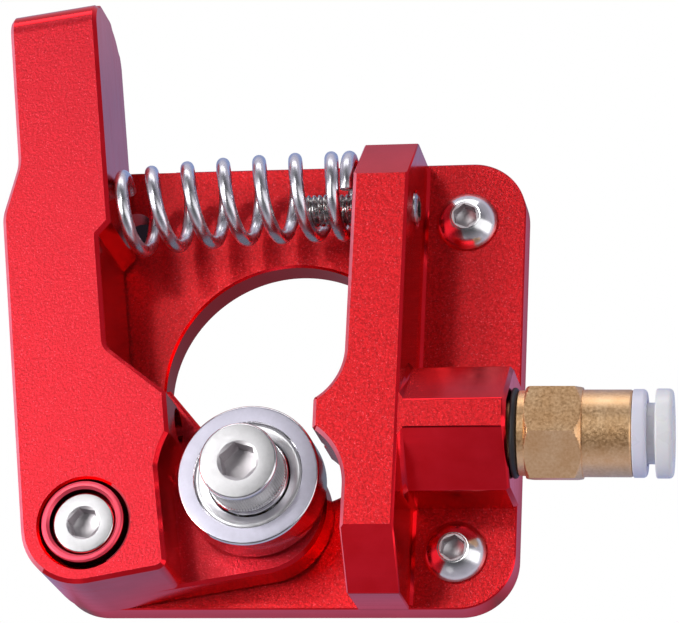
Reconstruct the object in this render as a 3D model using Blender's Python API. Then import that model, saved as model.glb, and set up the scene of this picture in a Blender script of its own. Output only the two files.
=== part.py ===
"""Single-drive extruder frame for a 42 mm stepper motor: block, sprung idler lever and push-in fitting.

The base plate lies in XY with its motor face at z = 0, and the motor axis is the Z axis. X runs along the
filament towards the fitting, and Y points to the free end of the lever. All dimensions below are in mm.
"""
import bpy
import bmesh
import math
from mathutils import Matrix, Vector

MM = 0.001
FINE = 36                       # segments in a large circle
COARSE = 20                     # segments in a small circle
FACE_GAP = 0.05                 # between pieces that are clamped together
RUN_GAP = 0.2                   # between pieces that turn or slide on each other

# base plate, on the 31 mm hole square of a 42 mm motor
PLATE_SIDE = 41.8
PLATE_SHIFT = (-0.1, 0.3)       # plate centre from the motor axis
PLATE_THICK = 3.1
PLATE_CORNER = 5.0
HOLE_STEP = 15.5                # motor screw holes from the axis, each way
SCREW_HOLE_RADIUS = 1.7
PILOT_RADIUS = 11.5
POCKET_DEPTH = 0.2              # milled clearance under the lever
POCKET_EDGE_X = -12.0
POCKET_RIGHT_X = 3.4
POCKET_LOW_Y = -20.1
POCKET_STEP_Y = -6.0

# upright ridge, and the boss that carries the fitting
RIDGE_HEIGHT = 10.0             # above the plate
RIDGE_LEFT = 6.7
RIDGE_LEFT_LOW = 7.0            # below the filament guide
RIDGE_RIGHT = 11.65
RIDGE_CHAMFER = 4.8
GUIDE_X = 4.15                  # nose that leads the filament to the gear
GUIDE_LOW_Y = -7.1
GEAR_ROOM = (1.3, 0.2, 5.4)     # centre x, y and radius of the hollow for the drive gear
IDLER_ROOM = (0.9, -12.25, 6.1)  # and of the hollow for the idler bearing
BOSS_END = 20.9
BOSS_Y = -5.87
BOSS_HALF = 5.65
BOSS_CHAMFER = 4.55
FILAMENT_Y = -6.3
FILAMENT_RISE = 5.2             # filament above the plate
FILAMENT_BORE = 1.1
FITTING_THREAD = 3.0
FITTING_DEPTH = 7.0

# lever, drawn upright about its pivot and then leant to where its spring is relaxed
PIVOT = (-15.5, -15.5)
LEAN = 8.0                      # degrees
LEVER_RISE = 0.25               # underside above the plate
LEVER_THICK = 9.65
LEVER_TOP = 50.3
LEVER_WIDE = (-5.65, 3.0)       # x range beside the pivot
LEVER_NARROW = (-3.9, 4.2)      # x range of the finger end
FOOT_LOW = -5.6
FOOT_RIGHT = 7.0
GUIDE_BULGE = 8.05              # x of the filament inlet bulge
BULGE_LOW = 7.2
BULGE_HIGH = 10.9
TIP_FRONT_ROUND = 2.8
TIP_BACK_ROUND = 4.0
TONGUE_THICK = 3.4
TONGUE_CENTRE = (14.3, 1.2)
TONGUE_RADIUS = 6.05
INLET_RADIUS = 1.6
IDLER_AXIS = (14.4, 2.75)
SHOULDER_Y = 26.6               # where the finger end widens to the right, above the pivot

# pivot bush and the M3 cap screw in it
BUSH_RADIUS = 3.65
BUSH_BORE_RADIUS = 4.0         # hole in the lever that turns on the bush
BUSH_SEAT_RADIUS = 2.95
BUSH_SEAT_DEPTH = 4.2
BUSH_TOP = 10.4                 # above the plate
PIVOT_HEAD_SINK = 0.5           # screw head below the bush's end
M3_RADIUS = 1.45
M3_CAP = (2.75, 3.0, 2.5, 1.5)  # head radius, head height, hex across flats, hex depth
M3_BUTTON = (2.75, 1.65, 2.0, 1.1)
MOTOR_BITE = 4.5                # screw length below the plate

# idler bearing, 13 x 4 x 4, with its M4 cap screw
BEARING_RADIUS = 6.3
BEARING_WIDTH = 4.0
BEARING_BORE = 2.1
BEARING_BACK = 4.25             # above the plate
LAND_OUTER = 4.75
LAND_INNER = 3.6
BALL_TRACK = 4.2
BALL_RADIUS = 0.9
BALL_COUNT = 7
GROOVE_RADIUS = 1.05
SHIELD_THICK = 0.25
SHIELD_SINK = 0.3
M4_RADIUS = 1.95
M4_CAP = (3.42, 4.0, 3.0, 2.0)

# compression spring and the M3 grub screw inside its far end
SPRING_RADIUS = 3.48            # to the wire's centre
WIRE_RADIUS = 0.6
SPRING_TURNS = 7.383
SPRING_START = -35              # degrees round the axis where the wire starts, from +Y towards the front
SPRING_CLOSED = (0.494, 1.052)  # turns at each end that lie almost flat
SPRING_SEAT = (29.84, 5.75)     # centre on the lever's face: above the pivot, and above the plate
SPRING_LIFT = (1.2, 0.45)       # y and z from the grub screw's axis to the far end's centre
GRUB_Y = 14.87
GRUB_RISE = 5.1                 # axis above the plate
GRUB_SPAN = (1.0, 11.9)
GRUB_RADIUS = 1.45

# push-in tube fitting: distances along its axis from the boss's end face
SEAL = (0.2, 0.58, 3.95)        # start, end, radius
COLLAR = (0.6, 1.3, 3.7)
HEX = (1.3, 6.2, 3.95)          # start, end, half the distance across flats
HEX_TURN = 15                   # degrees; how far the nut's front edge is turned down from +Z
BARREL = (6.2, 10.45, 3.78)
GUARD = (10.5, 11.72, 3.82)
NECK = (2.65, 12.32)            # radius, end
CAP = (12.47, 13.95, 3.87)
FITTING_TILT = 2.5              # degrees; the fitting leans back, loose in its thread
TUBE_RADIUS = 2.1
SOCKET = (8.2, 3.0)             # start and radius of the barrel's inner socket


def clear_scene():
    for item in list(bpy.data.objects):
        bpy.data.objects.remove(item, do_unlink=True)


def material(name, colour, roughness, metallic):
    made = bpy.data.materials.new(name)
    made.use_nodes = True
    shader = made.node_tree.nodes["Principled BSDF"]
    shader.inputs["Base Color"].default_value = (*colour, 1.0)
    shader.inputs["Roughness"].default_value = roughness
    shader.inputs["Metallic"].default_value = metallic
    made.diffuse_color = (*colour, 1.0)
    return made


def arc(centre_x, centre_y, radius, start, end, steps):
    """Points on an arc; the angles are in degrees."""
    points = []
    for i in range(steps + 1):
        angle = math.radians(start + (end - start) * i / steps)
        points.append((centre_x + radius * math.cos(angle), centre_y + radius * math.sin(angle)))
    return points


def rounded(corners, steps=6):
    """Outline through the corners (x, y) or (x, y, radius), with each radius as a true arc."""
    outline = []
    for i, corner in enumerate(corners):
        here = Vector(corner[:2])
        if len(corner) == 2:
            outline.append(tuple(here))
            continue
        back = (Vector(corners[i - 1][:2]) - here).normalized()
        ahead = (Vector(corners[(i + 1) % len(corners)][:2]) - here).normalized()
        half = back.angle(ahead) / 2
        centre = here + (back + ahead).normalized() * (corner[2] / math.sin(half))
        start = here + back * (corner[2] / math.tan(half)) - centre
        sweep = start.angle_signed(here + ahead * (corner[2] / math.tan(half)) - centre)
        for k in range(steps + 1):
            turned_by = -sweep * k / steps
            outline.append(tuple(centre + Matrix.Rotation(turned_by, 2) @ start))
    return outline


def circle(radius, steps, x=0.0, y=0.0, turn=0.0):
    return arc(x, y, radius, turn, turn + 360 - 360 / steps, steps - 1)


def hexagon(across_flats, turn=30):
    return circle(across_flats / math.sqrt(3), 6, turn=turn)


def finish_mesh(name, mesh_data, look, parent, smooth):
    """Turns bmesh data in mm into an object in metres with its faces out."""
    bmesh.ops.remove_doubles(mesh_data, verts=mesh_data.verts, dist=1e-5)
    bmesh.ops.recalc_face_normals(mesh_data, faces=mesh_data.faces)
    bmesh.ops.scale(mesh_data, vec=(MM, MM, MM), verts=mesh_data.verts)
    mesh = bpy.data.meshes.new(name)
    mesh_data.to_mesh(mesh)
    mesh_data.free()
    if smooth:
        mesh.shade_smooth()
        mesh.set_sharp_from_angle(angle=math.radians(35))
    made = bpy.data.objects.new(name, mesh)
    bpy.context.collection.objects.link(made)
    if look:
        mesh.materials.append(look)
    made.parent = parent
    return made


def prism(name, outline, low, high, look=None, parent=None, smooth=True):
    """Closed solid between two heights along local Z."""
    data = bmesh.new()
    base = data.faces.new([data.verts.new((x, y, low)) for x, y in outline])
    grown = bmesh.ops.extrude_face_region(data, geom=[base])["geom"]
    top = [item for item in grown if isinstance(item, bmesh.types.BMVert)]
    bmesh.ops.translate(data, vec=(0, 0, high - low), verts=top)
    return finish_mesh(name, data, look, parent, smooth)


def turned(name, profile, steps, look=None, parent=None):
    """Closed solid of revolution about local Z from a closed profile of (radius, height)."""
    data = bmesh.new()
    verts = [data.verts.new((radius, 0, height)) for radius, height in profile]
    edges = [data.edges.new((verts[i - 1], verts[i])) for i in range(len(verts))
             if profile[i - 1][0] > 0 or profile[i][0] > 0]
    bmesh.ops.spin(data, geom=verts + edges, cent=(0, 0, 0), axis=(0, 0, 1),
                   angle=2 * math.pi, steps=steps, use_merge=True)
    return finish_mesh(name, data, look, parent, True)


def shape_with(target, tool, operation):
    """Adds a Boolean and turns the tool into a hidden guide."""
    modifier = target.modifiers.new(operation.lower() + " " + tool.name, "BOOLEAN")
    modifier.operation = operation
    modifier.solver = "EXACT"
    modifier.object = tool
    tool.hide_render = True
    tool.display_type = "WIRE"


def empty(name, location, parent=None, rotation=(0, 0, 0)):
    """Axis marker; the location is in mm and the rotation in degrees."""
    made = bpy.data.objects.new(name, None)
    made.location = Vector(location) * MM
    made.rotation_euler = [math.radians(angle) for angle in rotation]
    made.parent = parent
    bpy.context.collection.objects.link(made)
    return made


def place(item, location, rotation=(0, 0, 0)):
    item.location = Vector(location) * MM
    item.rotation_euler = [math.radians(angle) for angle in rotation]
    return item


RED = material("red anodised aluminium", (0.78, 0.02, 0.035), 0.35, 0.85)
STEEL = material("polished stainless steel", (0.78, 0.77, 0.78), 0.18, 1.0)
RING_STEEL = material("ground bearing steel", (0.62, 0.61, 0.66), 0.3, 1.0)
SPRING_STEEL = material("bright spring wire", (0.6, 0.6, 0.63), 0.22, 1.0)
DARK_STEEL = material("blackened screw steel", (0.16, 0.15, 0.15), 0.35, 1.0)
BRASS = material("brass", (0.72, 0.5, 0.28), 0.3, 1.0)
RUBBER = material("black rubber", (0.015, 0.015, 0.016), 0.7, 0.0)
WHITE = material("white plastic", (0.85, 0.84, 0.88), 0.35, 0.0)

ALONG_X = (0, 90, 0)            # turns local Z to world X


def frame_block():
    """Plate, ridge and boss as one machined block."""
    half = PLATE_SIDE / 2
    shift_x, shift_y = PLATE_SHIFT
    left, right = shift_x - half, shift_x + half
    low, high = shift_y - half, shift_y + half
    top = PLATE_THICK + RIDGE_HEIGHT
    corner = PLATE_CORNER
    block = prism("frame_block", rounded([(left, low, corner), (right, low, corner), (right, high, corner),
                                          (left, high, corner)], 8), 0, PLATE_THICK, RED)
    pilot = prism("pilot_cut", circle(PILOT_RADIUS, FINE), -1, PLATE_THICK + 1)
    shape_with(block, pilot, "DIFFERENCE")

    pocket = prism("pocket_cut", [(left - 1, POCKET_LOW_Y), (POCKET_RIGHT_X, POCKET_LOW_Y),
                                  (POCKET_RIGHT_X, POCKET_STEP_Y), (POCKET_EDGE_X, POCKET_STEP_Y),
                                  (POCKET_EDGE_X, high + 1), (left - 1, high + 1)],
                   PLATE_THICK - POCKET_DEPTH, PLATE_THICK + 1)
    shape_with(block, pocket, "DIFFERENCE")

    gear_x, gear_y, gear_radius = GEAR_ROOM
    idler_x, idler_y, idler_radius = IDLER_ROOM
    gear_end = -math.degrees(math.acos((GUIDE_X - gear_x) / gear_radius))
    idler_start = math.degrees(math.asin((GUIDE_LOW_Y - idler_y) / idler_radius))
    idler_end = math.degrees(math.acos((RIDGE_LEFT_LOW - idler_x) / idler_radius))
    plan = [(RIDGE_RIGHT, low), (RIDGE_RIGHT, high), (RIDGE_LEFT, high)]
    plan += arc(gear_x, gear_y, gear_radius, 0, gear_end, 10)
    plan += arc(idler_x, idler_y, idler_radius, idler_start, idler_end, 6)
    plan += [(RIDGE_LEFT_LOW, low)]
    ridge = prism("ridge_form", plan, PLATE_THICK - POCKET_DEPTH, top)
    cut = RIDGE_CHAMFER
    side = [(low - 1, 0), (high + 1, 0), (high + 1, top - cut - 1), (high - cut, top), (low + cut, top),
            (low - 1, top - cut - 1)]
    envelope = prism("ridge_envelope", [(-z, y) for y, z in side], -1, 30)
    place(envelope, (0, 0, 0), ALONG_X)
    shape_with(ridge, envelope, "INTERSECT")

    cut = BOSS_CHAMFER
    side = [(-BOSS_HALF, PLATE_THICK - 1), (BOSS_HALF, PLATE_THICK - 1), (BOSS_HALF, top - cut),
            (BOSS_HALF - cut, top), (cut - BOSS_HALF, top), (-BOSS_HALF, top - cut)]
    boss = prism("boss_form", [(-z, y) for y, z in side], RIDGE_RIGHT - 1, BOSS_END)
    place(boss, (0, BOSS_Y, 0), ALONG_X)
    shape_with(ridge, boss, "UNION")
    shape_with(block, ridge, "UNION")

    filament_z = PLATE_THICK + FILAMENT_RISE
    bore = prism("filament_bore_cut", circle(FILAMENT_BORE, 16), GUIDE_X - 1, BOSS_END)
    place(bore, (0, FILAMENT_Y, filament_z), ALONG_X)
    shape_with(block, bore, "DIFFERENCE")
    thread = prism("fitting_thread_cut", circle(FITTING_THREAD + RUN_GAP, FINE),
                   BOSS_END - FITTING_DEPTH, BOSS_END + 1)
    place(thread, (0, FILAMENT_Y, filament_z), ALONG_X)
    shape_with(block, thread, "DIFFERENCE")
    tapped = prism("grub_thread_cut", circle(GRUB_RADIUS + RUN_GAP, COARSE), RIDGE_LEFT - 1, RIDGE_RIGHT + 1)
    place(tapped, (0, GRUB_Y, PLATE_THICK + GRUB_RISE), ALONG_X)
    shape_with(block, tapped, "DIFFERENCE")
    for side_x in (-1, 1):
        for side_y in (-1, 1):
            hole = prism("motor_hole_cut", circle(SCREW_HOLE_RADIUS, COARSE), -1, PLATE_THICK + 1)
            place(hole, (side_x * HOLE_STEP, side_y * HOLE_STEP, 0))
            shape_with(block, hole, "DIFFERENCE")


def socket_screw(name, head, shank_radius, shank_length, domed, look, parent=None):
    """Screw along local Z with its head's underside at z = 0."""
    head_radius, head_height, across_flats, hex_depth = head
    tip = 0.3
    if domed:
        crown = 1.35            # radius of the button head's flat top
        top = [(crown + (head_radius - crown) * math.sin(angle), head_height * math.cos(angle))
               for angle in [math.radians(step * 15) for step in range(6)]]
        top = [(crown, head_height)] + top[1:] + [(head_radius, 0.25)]
    else:
        top = [(head_radius - 0.25, head_height), (head_radius, head_height - 0.25)]
    profile = [(0, head_height)] + top + [(head_radius, 0), (shank_radius, 0),
                                          (shank_radius, tip - shank_length),
                                          (shank_radius - tip, -shank_length), (0, -shank_length)]
    screw = turned(name, profile, COARSE, look, parent)
    socket = prism(name + "_socket", hexagon(across_flats), head_height - hex_depth, head_height + 1,
                   parent=screw)
    shape_with(screw, socket, "DIFFERENCE")
    return screw


def motor_screws():
    for name, y in (("motor_screw_upper_right", HOLE_STEP), ("motor_screw_lower_right", -HOLE_STEP)):
        screw = socket_screw(name, M3_BUTTON, M3_RADIUS, PLATE_THICK + MOTOR_BITE, True, STEEL)
        place(screw, (HOLE_STEP, y, PLATE_THICK + FACE_GAP))


def pivot_pieces():
    """Bush clamped to the plate by the screw; the lever turns on the bush."""
    floor = PLATE_THICK - POCKET_DEPTH
    length = PLATE_THICK + BUSH_TOP - floor
    seat = length - BUSH_SEAT_DEPTH
    edge = 0.3
    inner = M3_RADIUS + RUN_GAP
    bush = turned("pivot_bush", [(inner, FACE_GAP), (BUSH_RADIUS, FACE_GAP), (BUSH_RADIUS, length - edge),
                                 (BUSH_RADIUS - edge, length), (BUSH_SEAT_RADIUS + edge, length),
                                 (BUSH_SEAT_RADIUS, length - edge), (BUSH_SEAT_RADIUS, seat), (inner, seat)],
                  FINE, RED)
    place(bush, (*PIVOT, floor))
    head_base = floor + length - PIVOT_HEAD_SINK - M3_CAP[1]
    screw = socket_screw("pivot_screw", M3_CAP, M3_RADIUS, head_base + MOTOR_BITE, False, STEEL)
    place(screw, (*PIVOT, head_base))


def lever(pivot):
    """Lever with its thin tongue for the idler, drawn upright about the pivot."""
    wide_left, wide_right = LEVER_WIDE
    narrow_left, narrow_right = LEVER_NARROW
    thick = LEVER_THICK
    hollow = 7.75               # room round the idler bearing
    outline = rounded([(wide_left, FOOT_LOW, 5.4), (FOOT_RIGHT, FOOT_LOW + 0.6, 0.9)]
                      + arc(*IDLER_AXIS, hollow, 169, 145, 5)
                      + [(GUIDE_BULGE, BULGE_HIGH), (wide_right, BULGE_HIGH + GUIDE_BULGE - wide_right, 1.5),
                         (wide_right, SHOULDER_Y), (narrow_right, SHOULDER_Y + 1.1), (narrow_right, LEVER_TOP),
                         (narrow_left, LEVER_TOP), (narrow_left, 34.6, 4.0), (wide_left, 29.8, 4.0)])
    arm = prism("lever_arm", outline, 0, thick, RED, pivot)
    side = rounded([(-20, -1), (-20, thick), (LEVER_TOP, thick, TIP_FRONT_ROUND),
                    (LEVER_TOP, 0, TIP_BACK_ROUND)])
    side = [(y, max(z, 0)) for y, z in side]
    envelope = prism("lever_envelope", [(-z, y) for y, z in side], -15, 15, parent=pivot)
    place(envelope, (0, 0, 0), ALONG_X)
    shape_with(arm, envelope, "INTERSECT")

    tongue_x, tongue_y = TONGUE_CENTRE
    outline = [(0, tongue_y - TONGUE_RADIUS - 0.4)]
    outline += arc(tongue_x, tongue_y, TONGUE_RADIUS, -92, 100, 20)
    outline += [(10.2, 8.6), (7.2, 13.2), (0, 13.2)]
    tongue = prism("tongue_form", outline, 0, TONGUE_THICK, parent=pivot)
    shape_with(arm, tongue, "UNION")

    edge = RUN_GAP
    bore = turned("pivot_bore_cut", [(0, -1), (BUSH_BORE_RADIUS, -1), (BUSH_BORE_RADIUS, thick - edge),
                                     (BUSH_BORE_RADIUS + edge, thick), (BUSH_BORE_RADIUS + edge, thick + 1),
                                     (0, thick + 1)], FINE,
                  parent=pivot)
    shape_with(arm, bore, "DIFFERENCE")
    tapped = prism("idler_thread_cut", circle(M4_RADIUS + RUN_GAP, COARSE), -1, TONGUE_THICK + 1, parent=pivot)
    place(tapped, (*IDLER_AXIS, 0))
    shape_with(arm, tapped, "DIFFERENCE")
    inlet = prism("filament_inlet_cut", circle(INLET_RADIUS, COARSE), -15, 15, parent=pivot)
    place(inlet, (0, FILAMENT_Y - PIVOT[1], FILAMENT_RISE - LEVER_RISE), ALONG_X)
    shape_with(arm, inlet, "DIFFERENCE")


def ring(name, inner, outer, low, high, look, parent, steps=FINE):
    return turned(name, [(inner, low), (outer, low), (outer, high), (inner, high)], steps, look, parent)


def bearing(axis):
    """Deep-groove bearing with its back face at local z = 0."""
    width = BEARING_WIDTH
    middle = width / 2
    edge = 0.3
    reach = math.degrees(math.acos((LAND_OUTER - BALL_TRACK) / GROOVE_RADIUS))
    race = [(LAND_OUTER, 0), (BEARING_RADIUS - edge, 0), (BEARING_RADIUS, edge),
            (BEARING_RADIUS, width - edge), (BEARING_RADIUS - edge, width), (LAND_OUTER, width)]
    race += arc(BALL_TRACK, middle, GROOVE_RADIUS, reach, -reach, 4)
    turned("bearing_outer_ring", race, FINE, RING_STEEL, axis)
    reach = math.degrees(math.acos((BALL_TRACK - LAND_INNER) / GROOVE_RADIUS))
    race = [(BEARING_BORE, 0), (LAND_INNER, 0)]
    race += arc(BALL_TRACK, middle, GROOVE_RADIUS, 180 + reach, 180 - reach, 4)
    race += [(LAND_INNER, width), (BEARING_BORE, width)]
    turned("bearing_inner_ring", race, FINE, RING_STEEL, axis)
    inner, outer = LAND_INNER + 0.1, LAND_OUTER - 0.02
    ring("bearing_shield_rear", inner, outer, SHIELD_SINK, SHIELD_SINK + SHIELD_THICK, STEEL, axis)
    ring("bearing_shield_front", inner, outer, width - SHIELD_SINK - SHIELD_THICK, width - SHIELD_SINK,
         STEEL, axis)
    for i in range(BALL_COUNT):
        angle = 2 * math.pi * i / BALL_COUNT
        data = bmesh.new()
        bmesh.ops.create_uvsphere(data, u_segments=10, v_segments=7, radius=BALL_RADIUS)
        ball = finish_mesh(f"bearing_ball_{i + 1}", data, STEEL, axis, True)
        place(ball, (BALL_TRACK * math.cos(angle), BALL_TRACK * math.sin(angle), middle))
    cage = ring("bearing_cage", BALL_TRACK - 0.3, BALL_TRACK + 0.3, middle + 1.0, middle + 1.25, BRASS, axis)
    for i in range(BALL_COUNT):
        angle = 360 * (i + 0.5) / BALL_COUNT
        inner_arc = arc(0, 0, BALL_TRACK - 0.25, angle - 7, angle + 7, 2)
        outer_arc = arc(0, 0, BALL_TRACK + 0.25, angle + 7, angle - 7, 2)
        finger = prism(f"cage_finger_{i + 1}", inner_arc + outer_arc, middle - 0.6, middle + 1.1, parent=axis)
        shape_with(cage, finger, "UNION")


def idler(pivot):
    """Bearing, spacer and screw on the lever's tongue."""
    back = BEARING_BACK - LEVER_RISE
    axis = empty("idler_axis", (*IDLER_AXIS, back), pivot)
    bearing(axis)
    spacer_back = TONGUE_THICK - back + FACE_GAP
    ring("bearing_spacer", BEARING_BORE, LAND_INNER - 0.6, spacer_back, -FACE_GAP, STEEL, axis, COARSE)
    screw = socket_screw("bearing_screw", M4_CAP, M4_RADIUS, back + BEARING_WIDTH, False, STEEL, axis)
    place(screw, (0, 0, BEARING_WIDTH + FACE_GAP))


def tension_spring():
    """Spring with closed ends, square to the lever's face at one end and to the ridge at the other."""
    lean = math.radians(LEAN)
    along = Vector((math.cos(lean), math.sin(lean), 0))
    up = Vector((-math.sin(lean), math.cos(lean), 0))
    end_gap = WIRE_RADIUS + 0.1
    seat_y, seat_rise = SPRING_SEAT
    start = (Vector((*PIVOT, PLATE_THICK + seat_rise)) + along * (LEVER_NARROW[1] + end_gap) + up * seat_y)
    end = Vector((RIDGE_LEFT - end_gap, GRUB_Y, PLATE_THICK + GRUB_RISE)) + Vector((0, *SPRING_LIFT))
    length = (end - start).length
    flat_first, flat_last = SPRING_CLOSED
    flat_pitch = 2 * WIRE_RADIUS + 0.1
    open_pitch = (length - (flat_first + flat_last) * flat_pitch) / (SPRING_TURNS - flat_first - flat_last)
    steps = 14                  # points in a turn
    curve = bpy.data.curves.new("tension_spring", "CURVE")
    curve.dimensions = "3D"
    curve.bevel_depth = WIRE_RADIUS * MM
    curve.bevel_resolution = 2
    curve.use_fill_caps = True
    spline = curve.splines.new("POLY")
    count = round(SPRING_TURNS * steps)
    spline.points.add(count)
    for i in range(count + 1):
        turn = SPRING_TURNS * i / count
        flat = min(turn, flat_first) + max(turn - SPRING_TURNS + flat_last, 0)
        part = (flat * flat_pitch + (turn - flat) * open_pitch) / length
        first_weight = 2 * part ** 3 - 3 * part ** 2 + 1
        first_pull = (part ** 3 - 2 * part ** 2 + part) * length
        last_pull = (part ** 3 - part ** 2) * length
        middle = (start * first_weight + end * (1 - first_weight) + along * first_pull
                  + Vector((last_pull, 0, 0)))
        axis = along.lerp(Vector((1, 0, 0)), part).normalized()
        side = Vector((0, 0, 1)).cross(axis)
        angle = math.radians(SPRING_START) + 2 * math.pi * turn
        out = side * math.cos(angle) + axis.cross(side) * math.sin(angle)
        spline.points[i].co = (*((middle + out * SPRING_RADIUS) * MM), 1)
    spring = bpy.data.objects.new("tension_spring", curve)
    curve.materials.append(SPRING_STEEL)
    bpy.context.collection.objects.link(spring)


def grub_screw():
    left, right = GRUB_SPAN
    edge = 0.4
    profile = [(0, left), (GRUB_RADIUS - edge, left), (GRUB_RADIUS, left + edge), (GRUB_RADIUS, right - edge),
               (GRUB_RADIUS - edge, right), (0, right)]
    screw = turned("tension_grub_screw", [(radius, z - left) for radius, z in profile], COARSE, DARK_STEEL)
    place(screw, (left, GRUB_Y, PLATE_THICK + GRUB_RISE), ALONG_X)
    socket = prism("grub_socket_cut", hexagon(1.5), right - left - 2.2, right - left + 1, parent=screw)
    shape_with(screw, socket, "DIFFERENCE")


def fitting():
    """Push-in fitting for a 4 mm tube, along its own axis from the boss's end face."""
    axis = empty("fitting_axis", (BOSS_END, FILAMENT_Y, PLATE_THICK + FILAMENT_RISE), None,
                 (0, 90 + FITTING_TILT, 0))
    thread = FITTING_THREAD - 0.1
    seal_start, seal_end, seal_radius = SEAL
    ring("fitting_seal", thread + 0.1, seal_radius, seal_start, seal_end, RUBBER, axis, FINE)

    collar_start, collar_end, collar_radius = COLLAR
    hex_start, hex_end, half_flats = HEX
    barrel_start, barrel_end, barrel_radius = BARREL
    bore = TUBE_RADIUS + 0.05
    socket_start, socket_radius = SOCKET
    edge = 0.3
    stop = -FITTING_DEPTH + 1.2
    profile = [(1.2, stop), (thread - edge, stop), (thread, stop + edge), (thread, collar_start),
               (collar_radius, collar_start), (collar_radius, collar_end), (half_flats - 0.4, collar_end),
               (half_flats - 0.4, hex_end), (barrel_radius, barrel_start), (barrel_radius, barrel_end),
               (socket_radius, barrel_end), (socket_radius, socket_start), (bore, socket_start),
               (bore, stop + 2), (1.2, stop + 2)]
    body = turned("fitting_body", profile, FINE, BRASS, axis)
    nut = prism("hex_form", hexagon(2 * half_flats, HEX_TURN), hex_start, hex_end, parent=axis)
    bevel = 0.45
    corner = half_flats * 2 / math.sqrt(3)
    limit = turned("hex_envelope", [(0, hex_start - 1), (corner - bevel, hex_start - 1),
                                    (corner - bevel, hex_start), (corner, hex_start + bevel),
                                    (corner, hex_end - bevel), (corner - bevel, hex_end),
                                    (corner - bevel, hex_end + 1), (0, hex_end + 1)], FINE, parent=axis)
    shape_with(nut, limit, "INTERSECT")
    hollow = turned("hex_bore_cut", [(0, hex_start - 1), (half_flats - 0.8, hex_start - 1),
                                     (half_flats - 0.8, hex_end + 1), (0, hex_end + 1)], COARSE, parent=axis)
    shape_with(nut, hollow, "DIFFERENCE")
    shape_with(body, nut, "UNION")

    guard_start, guard_end, guard_radius = GUARD
    neck_radius, neck_end = NECK
    ring("fitting_guard_ring", neck_radius + RUN_GAP, guard_radius, guard_start, guard_end, WHITE, axis)
    cap_start, cap_end, cap_radius = CAP
    sleeve_start = socket_start + 2.0
    collar = [(bore, sleeve_start), (neck_radius, sleeve_start), (neck_radius, cap_start),
              (cap_radius - edge, cap_start), (cap_radius, cap_start + edge), (cap_radius, cap_end - edge),
              (cap_radius - edge, cap_end), (bore, cap_end)]
    turned("release_collar", collar, FINE, WHITE, axis)
    ring("tube_seal", bore + 0.05, socket_radius - 0.08, socket_start + FACE_GAP, socket_start + 0.8,
         RUBBER, axis, COARSE)
    ring("tube_grip_ring", bore + 0.1, socket_radius - 0.08, socket_start + 0.9, socket_start + 1.2,
         STEEL, axis, COARSE)


def main():
    clear_scene()
    frame_block()
    motor_screws()
    pivot_pieces()
    pivot = empty("lever_pivot", (*PIVOT, PLATE_THICK + LEVER_RISE), None, (0, 0, LEAN))
    lever(pivot)
    idler(pivot)
    tension_spring()
    grub_screw()
    fitting()


main()
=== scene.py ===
"""Looks of the filament extruder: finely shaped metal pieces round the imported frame.

Shapes are made in millimetres in the frame's axes (motor face at z = 0, motor axis along Z, filament along X)
and scaled to metres when they are finished.
"""
import math

import bmesh
import bpy
from mathutils import Matrix, Vector


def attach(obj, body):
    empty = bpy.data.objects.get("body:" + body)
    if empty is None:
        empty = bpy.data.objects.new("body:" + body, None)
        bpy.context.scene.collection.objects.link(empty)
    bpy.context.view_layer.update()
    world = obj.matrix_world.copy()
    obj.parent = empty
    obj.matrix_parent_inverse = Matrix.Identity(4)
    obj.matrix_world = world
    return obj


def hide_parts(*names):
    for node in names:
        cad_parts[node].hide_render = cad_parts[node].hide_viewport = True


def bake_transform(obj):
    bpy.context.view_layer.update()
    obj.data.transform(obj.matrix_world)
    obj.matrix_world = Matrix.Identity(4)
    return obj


MM = 0.001
ROUND = 96                      # segments in a large circle
SMALL = 48                      # segments in a small circle

# base plate
PLATE_SIDE = 41.8
PLATE_SHIFT = (-0.1, 0.3)
PLATE_THICK = 3.1
PLATE_CORNER = 5.0
HOLE_STEP = 15.5
SCREW_HOLE_RADIUS = 1.7
PILOT_RADIUS = 11.5
POCKET_DEPTH = 0.2
POCKET_EDGE_X = -12.0
POCKET_RIGHT_X = 3.4
POCKET_LOW_Y = -20.1
POCKET_STEP_Y = -6.0
POCKET_FLOOR = PLATE_THICK - POCKET_DEPTH
RIM_BREAK = 0.2                 # cone round the mouths of holes

# ridge and boss
RIDGE_TOP = 13.1
RIDGE_LEFT = 6.7
RIDGE_LEFT_LOW = 7.0
RIDGE_RIGHT = 11.65
RIDGE_CHAMFER = 4.8
GUIDE_X = 4.15
GUIDE_LOW_Y = -7.1
GEAR_ROOM = (1.3, 0.2, 5.4)
IDLER_ROOM = (0.9, -12.25, 6.1)
BOSS_END = 20.9
BOSS_Y = -5.87
BOSS_TOP = 12.9
BOSS_HALF = 5.65
BOSS_CHAMFER = 4.35
BOSS_ROOT = 0.4
FILAMENT_Y = -6.3
FILAMENT_Z = 8.3
FILAMENT_BORE = 1.1
FITTING_THREAD = 3.0
FITTING_DEPTH = 7.0
EDGE_WIDE = 0.34                # broad machined edge chamfer
EDGE_MIDDLE = 0.26
EDGE_FINE = 0.12                # broken edge
RIDGE_FILLET = 0.28
SHARP_BELOW = POCKET_FLOOR + 0.5    # edges below this height are inside the plate

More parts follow.
